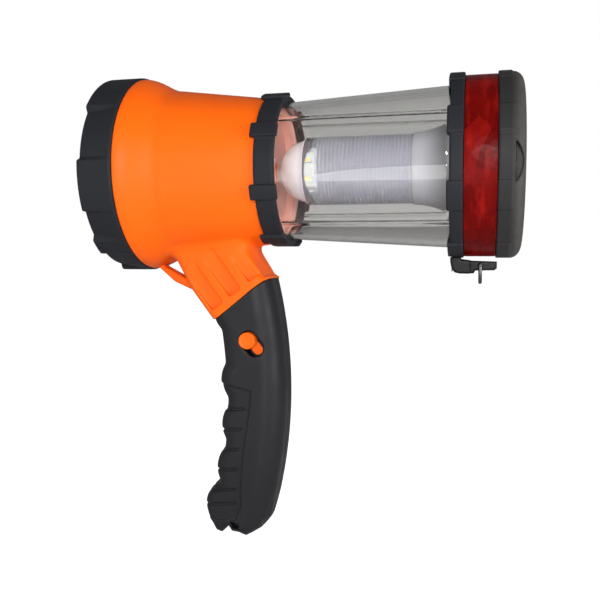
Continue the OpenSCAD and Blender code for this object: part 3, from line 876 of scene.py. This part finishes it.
# Swells between the fingers as [angle, rise]; the lowest stands out furthest.
SWELLS = [[10.8, 2.9]] + [[1.7 - i * SWELL_STEP, 2.9] for i in range(3)] + [[1.7 - 3 * SWELL_STEP, 5.1]]
GRIP_BOTTOM = [
    [110, -50], [90, -150], [70, -170], [66, -179.5], [61, -184.6], [54.5, -187.5],
    [50.8, -186], [46.8, -185.6], [45, -183], [41.5, -186.5], [38.5, -185.6],
    [33.4, -179], [30, -171.5], [25, -160], [15, -50]
]
FINGER_PANEL = [
    [20, -104.4], [45.2, -108.5], [58.5, -111.3], [57.4, -122.2], [54.3, -142.1],
    [52.7, -160], [52.7, -172.1], [50, -179], [20, -179]
]
PANEL_DEPTH = 0.75
RIB_HEIGHTS = [-121.7 - 10.4 * i for i in range(5)] + [-170.7]
RIB_SLOPE = 0.1
RIB_DEPTH = 0.75
BOTTOM_NOTCH = [[46.6, -179.6], [51.2, -181], [50.6, -184], [47.4, -183.4]]
CAVITY_FLOOR = -15.8
# Screws as [radius, angle] on the grip's curve.
GRIP_SCREWS = [[229, 9.6], [231, 4.6], [238, -15.2]]


def grip_place(radius, angle):
    """[u, z] of a point on the grip's curve."""
    a = math.radians(angle)
    return [GRIP_CX + radius * math.cos(a) - X_FLANGE, GRIP_CZ + radius * math.sin(a)]


def switch_axes(x, z):
    """Distances along and across the switch's travel."""
    dx, dz = x - SWITCH_X, z - SWITCH_Z
    along = dx * math.cos(SWITCH_TILT) + dz * math.sin(SWITCH_TILT)
    across = dz * math.cos(SWITCH_TILT) - dx * math.sin(SWITCH_TILT)
    return along, across


def grip_field(x, y, z):
    u = x - X_FLANGE
    side = np.abs(y)
    radius = np.hypot(x - GRIP_CX, z - GRIP_CZ)
    angle = np.degrees(np.arctan2(z - GRIP_CZ, x - GRIP_CX))
    band = np.abs(radius - GRIP_MID_R) - GRIP_DEPTH / 2
    for swell, rise in SWELLS:
        cu, cz = grip_place(GRIP_IN_R - rise + SWELL_R, swell)
        band = smooth_min(band, np.hypot(u - cu, z - cz) - SWELL_R, 0.8)
    skin = rounded_join(band, side - HALF_THICK, 7.0 + 4.0 * ease(radius, 225.0, 240.0))

    panel = outline(u, z, FINGER_PANEL)
    flank = ease(side, 3.0, 9.0)
    skin = skin + PANEL_DEPTH * flank * (1 - ease(panel, -0.5, 0.4))
    for height in RIB_HEIGHTS:
        off = np.abs(z - height - RIB_SLOPE * (u - 45))
        fade = (1 - ease(panel, -4.0, -2.0)) * (1 - ease(off, 0.2, 1.1))
        skin = skin + RIB_DEPTH * fade * (0.35 + 0.65 * flank)
    skin = rounded_join(skin, outline(u, z, GRIP_BOTTOM), 1.2 + 3.3 * flank)
    notch = meet(outline(u, z, BOTTOM_NOTCH), 9.5 - side)
    skin = smooth_max(skin, -notch, 1.2)
    skin = rounded_join(skin, foot_height(u, z) + 0.1, 0.4)

    cavity = np.abs(radius - GRIP_MID_R) - GRIP_DEPTH / 2 + GRIP_WALL
    cavity = rounded_join(cavity, side - HALF_THICK + GRIP_WALL, 8.0)
    cavity = meet(cavity, np.radians(CAVITY_FLOOR - angle) * radius)
    shell = cut(skin, cavity)
    for spot in GRIP_SCREWS:
        place = grip_place(*spot)
        shell = meet(with_screw_post(shell, u, y, z, place), skin)
        shell = without_screw_hole(shell, u, y, z, place)
    along, across = switch_axes(x, z)
    slot = capsule(along, across, SWITCH_TRAVEL, KNOB_R + 0.5)
    slot = meet(slot, y + HALF_THICK - GRIP_WALL - 1)
    pocket = capsule(along + 2, across, 8.5 + SWITCH_TRAVEL, 4.1)
    pocket = meet(pocket, slab(y, -12.8, -9))
    shell = smooth_max(shell, -slot, 0.7)
    return cut(shell, pocket)


def make_grip():
    clamshell("grip_shell", "grip", grip_field, HALF_THICK, 0.45, "grip_black", [GRIP])


def knob_field(x, y, z):
    """Round thumb button with a shallow dish, on a tongue that lies under the slot."""
    along, across = switch_axes(x, z)
    r = np.hypot(along, across)
    top = low("switch_knob")[1] + 0.35 * (1 - ease(r, 2.4, 3.9))
    button = rounded_join(r - KNOB_R, meet(top - y, y + 12.2), 0.6)
    tongue = rounded_join(capsule(along, across, 6.6, 2.6), slab(y, -12.7, -11.3), 0.3)
    stem = meet(r - 1.5, slab(y, -12, -9.1))
    return join(join(button, tongue), stem)


def carrier_field(x, y, z):
    """Black plate that carries the button along the slot."""
    along, across = switch_axes(x, z)
    plate = rounded_join(capsule(along + 1.5, across, 8, 3.8), slab(y, -12.45, -11.2), 0.25)
    seat = rounded_join(capsule(along, across, 6.6, 2.65), slab(y, -14, -11.6), 0.1)
    return cut(plate, seat)


def make_switch():
    start, end = low("switch_knob"), high("switch_knob")
    knob = from_field("switch_button", knob_field, start, end, 0.22)
    finish_piece(knob, "orange_shell", [ORANGE], "switch_knob", body="switch")
    carrier = from_field("switch_carrier", carrier_field, start, end, 0.25)
    finish_piece(carrier, "switch_black", [BLACK], body="switch")


# ---- lantern ----

COLLAR_TURN = 2.5
COLLAR_LIP_R = 34.8


def lug_arc(angle, half, radius):
    """Distance round the axis from the edge of the nearest lug, below zero on it."""
    return (np.abs(angle % LUG_STEP - LUG_STEP / 2) - half) * np.pi / 180 * radius


def collar_field(x, y, z):
    r, angle = around(y, z)
    x0 = X_BARREL_END + GAP
    ring = rounded_join(r - COLLAR_R, slab(x, x0, X_COLLAR_END), 1.1)
    lug = rounded_join(r - COLLAR_R - 1.4, slab(x, x0 - 2, X_COLLAR_END + 1.6), 0.9)
    lug = rounded_join(lug, lug_arc(angle - COLLAR_TURN, 5.5, r), 0.7)
    lug = meet(lug, COLLAR_R - 0.5 - r)
    shape = smooth_min(ring, lug, 0.5)
    bore = np.where(x > X_COLLAR_END - 1.4, COLLAR_LIP_R, COLLAR_BORE_R)
    return meet(shape, bore - r)


def make_collar():
    ring = from_round_field(
        "collar_ring", collar_field, X_BARREL_END - 1.85, X_COLLAR_END + 1.6, COLLAR_R + 1.4, 0.45
    )
    finish_piece(ring, "black_shell", [BLACK], "collar")
    make_seal("globe_seal", "globe_gasket", 33.1, 35.7, 0.5)


GLOBE_WALL = 2.2
GLOBE_R0 = 34.4
GLOBE_R1 = high("globe")[2]
GLOBE_X0 = low("globe")[0]
GLOBE_X1 = high("globe")[0]
GLOBE_PANEL_HALF = 26.0
GLOBE_PANEL_TURN = 6.0


def globe_radius(x):
    """Outer radius of the globe, which widens evenly from the collar to the cap."""
    return GLOBE_R0 + (GLOBE_R1 - GLOBE_R0) * (x - X_COLLAR_END) / (GLOBE_X1 - X_COLLAR_END)


def globe_bulge(angle, x, r):
    """Flattened side panels like the barrel's, with a thin rib inside each panel edge."""
    angle = (angle + GLOBE_PANEL_TURN + 180) % 360 - 180
    drop = 0.7 * panel_drop(angle)
    if x < X_COLLAR_END:
        return np.zeros(angle.shape)
    if r > globe_radius(x) - GLOBE_WALL / 2:
        return -drop
    from_side = np.abs((angle + 90) % 180 - 90)
    edge = math.degrees(math.asin(GLOBE_PANEL_HALF / globe_radius(x)))
    rib = 1.2 * np.exp(-((from_side - edge) / 1.1) ** 2)
    return -drop - rib


def make_globe():
    outside = [[x, globe_radius(x)] for x in np.linspace(X_COLLAR_END, GLOBE_X1, 16)]
    inside = [[x, r - GLOBE_WALL] for x, r in outside[::-1]]
    lip = X_COLLAR_END - 1.6
    foot = [[GLOBE_X0, GLOBE_R0 - GLOBE_WALL], [GLOBE_X0, 35.9], [lip, 35.9], [lip, GLOBE_R0]]
    globe = turned("globe_shell", foot + outside + inside, 400, globe_bulge)
    finish_piece(globe, "clear", [SMOKE], "globe")


def make_base_cup():
    x0 = low("base_cup")[0]
    wall = [
        [x0, 0], [x0, 5.5], [x0 + 2.2, 8.8], [x0 + 4.5, 11.3], [x0 + 7, 13.2], [x0 + 9.5, 14.6],
        [TUBE_X0 - 1.6, TUBE_R - 1.6], [TUBE_X0 - 0.2, TUBE_R + 0.2], [TUBE_X0 - 0.2, TUBE_R - 2.4],
        [TUBE_X0 - 2, 12.4], [TUBE_X0 - 2, 0]
    ]
    cup = turned("lantern_cup", softened(wall, 1.0))
    finish_piece(cup, "white_shell", [WHITE], "base_cup")


def chips(name, count, phase, x, radius):
    """Surface-mount lamps in a ring: a white frame round a coloured window."""
    ring = bmesh.new()
    for i in range(count):
        chip = bmesh.new()
        bmesh.ops.create_cube(chip, size=1, matrix=Matrix.Diagonal((3.5, 2.8, 1.2, 1)))
        chip.normal_update()
        top = max(chip.faces, key=lambda f: f.calc_center_median().z)
        bmesh.ops.inset_individual(chip, faces=[top], thickness=0.42, depth=-0.12)
        top.material_index = 1
        bmesh.ops.bevel(chip, geom=list(chip.edges), offset=0.09, segments=2, affect="EDGES")
        turn = Matrix.Rotation(math.radians(phase + i * 360 / count), 4, "X")
        place = turn @ Matrix.Translation((x + 1.75, 0, radius + 0.6))
        bmesh.ops.transform(chip, matrix=Matrix.Scale(1 / MM, 4) @ place, verts=chip.verts)
        part = bpy.data.meshes.new("chip")
        chip.to_mesh(part)
        chip.free()
        ring.from_mesh(part)
        bpy.data.meshes.remove(part)
    mesh = bpy.data.meshes.new(name)
    ring.to_mesh(mesh)
    ring.free()
    return add_object(name, mesh)


def make_lamps():
    post_flat = 11.6 * math.cos(math.pi / 8)
    lamps = chips("lantern_lamps", 8, 22.5, TUBE_X0 + 1, post_flat + 0.05)
    finish_piece(lamps, "emitter_yellow", [WHITE, YELLOW], "lantern_leds")
    middle = (BAND_X0 + BAND_X1) / 2
    lamps = chips("red_lamps", 12, 15, middle - 1.75, 36.25)
    finish_piece(lamps, "led_red", [WHITE, RED_CHIP], "red_leds")


RIB_PITCH = 1.9
RIB_START = TUBE_X0 + 7.0


def make_light_tube():
    """Fine grooves outside and ribs inside, with a plain clear window over the lamps."""
    ribs = int((TUBE_X1 - RIB_START - 1) / RIB_PITCH)
    wall_r, crest_r = TUBE_R - 1.6, TUBE_R - 2.4
    outside = [[TUBE_X0, TUBE_R], [RIB_START - 1, TUBE_R]]
    for i in range(ribs + 1):
        x = RIB_START + i * RIB_PITCH
        outside += [[x, TUBE_R], [x + 0.15, TUBE_R - 0.6], [x + 0.6, TUBE_R - 0.6], [x + 0.75, TUBE_R]]
    outside += [[TUBE_X1, TUBE_R], [TUBE_X1, wall_r]]
    inside = []
    for i in range(ribs, -1, -1):
        x = RIB_START + i * RIB_PITCH
        inside += [[x + 1.1, wall_r], [x + 0.7, crest_r], [x + 0.4, crest_r], [x, wall_r]]
    window = [[RIB_START - 1, wall_r], [TUBE_X0, wall_r]]
    tube = turned("ribbed_tube", outside + inside + window, 192)
    finish_piece(tube, "ribbed_clear", [RIBBED, CLEAR], "light_tube")
    for face in tube.data.polygons:
        face.material_index = int(face.center.x * MM < RIB_START - 1)


def make_bell():
    start, end = TUBE_X1 + 0.2, high("bell_reflector")[0]
    steps = np.linspace(0, 1, 20)
    outside = [[start + t * (end - start), TUBE_R + 0.6 + 7.6 * t * t] for t in steps]
    inside = [[x, r - 1.6] for x, r in outside[::-1]]
    bell = turned("bell", softened(outside + inside, 0.5), 192)
    finish_piece(bell, "white_shell", [BELL], "bell_reflector")


# ---- end cap ----

CORE_R = 35.0
BOSS_R = 28.0


def boss_distance(y, z):
    """Distance from the nearest of four screw bosses round the axis."""
    return np.hypot(np.abs(y) - BOSS_R * math.sqrt(0.5), np.abs(z) - BOSS_R * math.sqrt(0.5))


def cap_base_field(x, y, z):
    r, angle = around(y, z)
    rear = BAND_X0 - GAP
    ring = rounded_join(r - CAP_R, slab(x, X_CAP, rear), 0.9)
    lug = rounded_join(r - CAP_R - 0.8, slab(x, X_CAP - 1.2, rear), 0.7)
    lug = rounded_join(lug, lug_arc(angle, 9.0, r), 0.6)
    lug = meet(lug, CAP_R - 3.4 - r)
    shape = smooth_min(ring, lug, 0.4)
    shape = cut(shape, meet(r - 39.9, x - X_CAP - 3.5))
    shape = cut(shape, meet(r - CORE_R + 2, BAND_X0 + 1 - x))
    core = meet(slab(r, CORE_R - 2, CORE_R), slab(x, BAND_X0 - 1, SHOULDER_X - 2.8))
    disc = meet(r - CORE_R, slab(x, X_CAP + 3.5, BAND_X0 + 1))
    boss = meet(boss_distance(y, z) - 3.8, slab(x, BAND_X0 - 1.2, BAND_X1 - 0.2))
    shape = join(join(shape, core), join(disc, boss))
    pilot = meet(boss_distance(y, z) - 1.4, BAND_X0 + 4 - x)
    return cut(shape, pilot)


def end_cap_field(x, y, z):
    r, angle = around(y, z)
    x0 = BAND_X1 + GAP
    drop = CAP_R - END_FACE_R
    across = np.maximum(r - END_FACE_R, 0) / drop
    ahead = np.maximum(x - SHOULDER_X, 0) / -SHOULDER_X
    dome = (np.hypot(across, ahead) - 1) * (drop - SHOULDER_X) / 2
    ring = rounded_join(dome, x0 - x, 0.6)
    lug = rounded_join(r - CAP_R - 0.6, slab(x, x0, SHOULDER_X - 0.4), 0.5)
    lug = rounded_join(lug, lug_arc(angle, 9.0, r), 0.5)
    lug = meet(lug, CAP_R - 2 - r)
    shape = smooth_min(ring, lug, 0.35)
    cavity = join(meet(r - 38, x + 2.6), meet(r - 41.6, x + 6.5))
    shape = cut(shape, cavity)
    boss = meet(boss_distance(y, z) - 4.2, slab(x, BAND_X1 + 0.9, -2.1))
    shape = join(shape, boss)
    hole = join(boss_distance(y, z) - 1.8, meet(boss_distance(y, z) - 3.2, -2.6 - x))
    shape = smooth_max(shape, -hole, 0.3)
    scallop = meet(np.hypot(x - SHOULDER_X + 10.1, z + 2.5) - 13.9, CAP_R - 4.6 - np.abs(y))
    scallop = meet(scallop, SHOULDER_X + 0.4 - x)
    return smooth_max(shape, -scallop, 0.8)


def band_bulge(angle, x, r):
    """Upright prisms moulded inside the red band."""
    if r > BAND_R - 1:
        return np.zeros(angle.shape)
    return 0.9 * np.abs((angle / 4) % 1 * 2 - 1) - 0.45


def make_cap():
    reach = CAP_R + 0.8
    base = from_round_field("cap_ring", cap_base_field, X_CAP - 1.2, SHOULDER_X - 2.8, reach, 0.55)
    finish_piece(base, "black_shell", [BLACK], "cap_base")
    end = from_round_field("cap_end", end_cap_field, BAND_X1, 0, reach, 0.55)
    finish_piece(end, "black_shell", [BLACK_END], "end_cap")
    wall = [[BAND_X0, BAND_R - 1.7], [BAND_X0, BAND_R], [BAND_X1, BAND_R], [BAND_X1, BAND_R - 1.7]]
    band = turned("red_lens_band", softened(wall, 0.35), 720, band_bulge)
    finish_piece(band, "red_clear", [RED], "red_band")


# ---- hanging loop ----

BRACKET_SIDE = [
    [-0.3, -42], [-0.2, -46], [0.4, -48.6], [1.8, -50.8], [4, -51.3], [10.8, -51.4],
    [11.6, -50], [20.6, -49.8], [21.7, -48.8], [21.7, -45.6], [10, -45.2], [4.6, -44.6], [4.6, -42]
]


def bracket_field(x, y, z):
    side = outline(x - X_CAP, z, BRACKET_SIDE)
    wide = rounded_join(rounded_join(side, np.abs(y) - 7, 0.9), x - X_CAP - 9, 0.6)
    block = rounded_join(side, np.abs(y) - 3.6, 0.9)
    shape = smooth_min(wide, block, 0.8)
    shape = meet(shape, CAP_R + 0.1 - np.hypot(y, z))
    shape = meet(shape, WIRE_R + 0.08 - np.hypot(x - LOOP_X, z - LOOP_Z))
    screw = np.hypot(x - X_CAP - 2.2, np.abs(y) - 4)
    return cut(shape, join(screw - 1.3, meet(screw - 2.1, z + 48.7)))


def loop_field(x, y, z):
    """A bent wire: a bar through the bracket, two sides and a half-round end."""
    side = np.abs(y)
    bar = np.hypot(np.hypot(x - LOOP_X, z - LOOP_Z), np.maximum(side - LOOP_HALF_Y, 0)) - WIRE_R
    leg = np.hypot(x - LOOP_X, side - LOOP_HALF_Y) - WIRE_R
    leg = meet(leg, slab(z, LOOP_Z - LOOP_SIDE, LOOP_Z))
    bend_z = z - LOOP_Z + LOOP_SIDE
    bend = np.hypot(x - LOOP_X, np.hypot(y, bend_z) - LOOP_HALF_Y) - WIRE_R
    bend = meet(bend, bend_z)
    return smooth_min(join(leg, bend), bar, 0.5)


def make_hanging_loop():
    bracket = from_field("loop_bracket", bracket_field, low("hook_bracket"), high("hook_bracket"), 0.3)
    finish_piece(bracket, "black_shell", [BLACK_GLOSS], "hook_bracket")
    loop = from_field("wire_loop", loop_field, low("hang_loop"), high("hang_loop"), 0.2)
    finish_piece(loop, "wire_steel", [WIRE], "hang_loop", body="loop")


# ---- CAD nodes that keep their shape ----

KEPT = {
    "spot_board": WHITE_BOARD, "heat_sink": ALUMINIUM, "driver_board": GREEN_BOARD,
    "body_screws": STEEL, "grip_screws": STEEL, "cap_screws": STEEL, "bracket_screws": STEEL,
    "switch_block": BLACK, "battery_cell": WRAP, "contact_spring": NICKEL, "contact_plate": NICKEL,
    "charge_socket": BLACK, "lantern_board": WHITE_BOARD, "red_board": WHITE_BOARD,
}


def repaint_kept():
    """Gives each CAD node that keeps its own shape a finished material."""
    for node, material in KEPT.items():
        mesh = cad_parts[node].data
        mesh.materials.clear()
        mesh.materials.append(material)


# ---- setting ----

FLOOR_HALF = 6.0
FLOOR_GAP = 0.0005
FLOOR_LIFT = 0.88


def make_floor():
    """A plain pale floor, lifted to white where the camera sees it."""
    z = cad_box[0][2] - FLOOR_GAP
    corners = [(-1, -1), (1, -1), (1, 1), (-1, 1)]
    mesh = bpy.data.meshes.new("floor")
    mesh.from_pydata([(i * FLOOR_HALF, j * FLOOR_HALF, z) for i, j in corners], [], [(0, 1, 2, 3)])
    floor = add_object("floor", mesh)
    look = Look("floor_paper", 0.9, Specular_IOR_Level=0.0)
    look.drifting_colour(3.0, (0.9, 0.9, 0.9), (0.93, 0.93, 0.93))
    white = look.node("ShaderNodeEmission", Strength=FLOOR_LIFT)
    lifted = look.node("ShaderNodeAddShader")
    look.feed(look.shader.outputs[0], lifted.inputs[0])
    look.feed(white.outputs[0], lifted.inputs[1])
    look.by_ray("Is Camera Ray", lifted, look.shader, "Material Output")
    mesh.materials.append(look.material)


def facing(direction):
    """The rotation that points a lamp or camera along a direction."""
    return direction.to_track_quat("-Z", "Y").to_euler()


def area_light(name, place, target, width, height, power):
    lamp = bpy.data.lights.new(name, "AREA")
    lamp.shape = "ELLIPSE"
    lamp.size = width
    lamp.size_y = height
    lamp.energy = power
    light = add_object(name, lamp)
    light.location = place
    light.rotation_euler = facing(Vector(target) - Vector(place))


def make_lights():
    middle = (-0.1, 0.0, -0.06)
    area_light("key", (0.1, -0.85, 0.2), middle, 0.36, 0.05, 4.2)
    area_light("fill", (-0.9, -0.6, 0.0), middle, 0.8, 0.8, 1.8)
    area_light("low", (-0.12, -0.5, -0.165), middle, 0.3, 0.3, 0.6)
    area_light("side", (0.7, -0.35, 0.0), middle, 0.3, 0.3, 4.0)
    area_light("flash", (0.05, -0.6, -0.03), middle, 0.07, 0.03, 0.4)


AMBIENT = 0.56
AMBIENT_THROUGH_CLEAR = 0.86
FROM_BELOW = 1.05
FROM_ABOVE = 0.22


def make_room():
    """A room that the camera sees as white. Its own light is dimmer, and comes mostly from below."""
    world = bpy.data.worlds.new("studio")
    room = Nodes(world)
    white = room.fill(room.tree.nodes["Background"], Color=(1, 1, 1))
    direction = room.node("ShaderNodeTexCoord").outputs["Generated"]
    up = room.node("ShaderNodeSeparateXYZ", Vector=direction).outputs["Z"]
    through_clear = room.node("ShaderNodeLightPath").outputs["Is Transmission Ray"]
    strength = room.spread(through_clear, 0.0, 1.0, AMBIENT, AMBIENT_THROUGH_CLEAR)
    shade = room.spread(up, -1.0, 1.0, FROM_BELOW, FROM_ABOVE)
    ambient = room.node("ShaderNodeBackground", Color=shade, Strength=strength)
    room.by_ray("Is Camera Ray", white, ambient, "World Output")
    bpy.context.scene.world = world
    bpy.context.scene.view_settings.view_transform = "Standard"


CAMERA_PLACE = (-0.0192, -0.3761, -0.0424)
CAMERA_YAW = math.radians(13.41)
CAMERA_PITCH = math.radians(-3.44)


def make_camera():
    camera = add_object("camera", bpy.data.cameras.new("camera"))
    camera.location = CAMERA_PLACE
    level = math.cos(CAMERA_PITCH)
    forward = (-math.sin(CAMERA_YAW) * level, math.cos(CAMERA_YAW) * level, math.sin(CAMERA_PITCH))
    camera.rotation_euler = facing(Vector(forward))
    camera.data.lens = 45
    camera.data.sensor_width = 36
    camera.data.clip_start = 0.01
    bpy.context.scene.camera = camera


make_camera()
make_lights()
make_room()
make_floor()
make_head()
make_reflector()
make_spot_emitter()
make_body()
make_grip()
make_switch()
make_collar()
make_globe()
make_base_cup()
make_lamps()
make_light_tube()
make_bell()
make_cap()
make_hanging_loop()
repaint_kept()
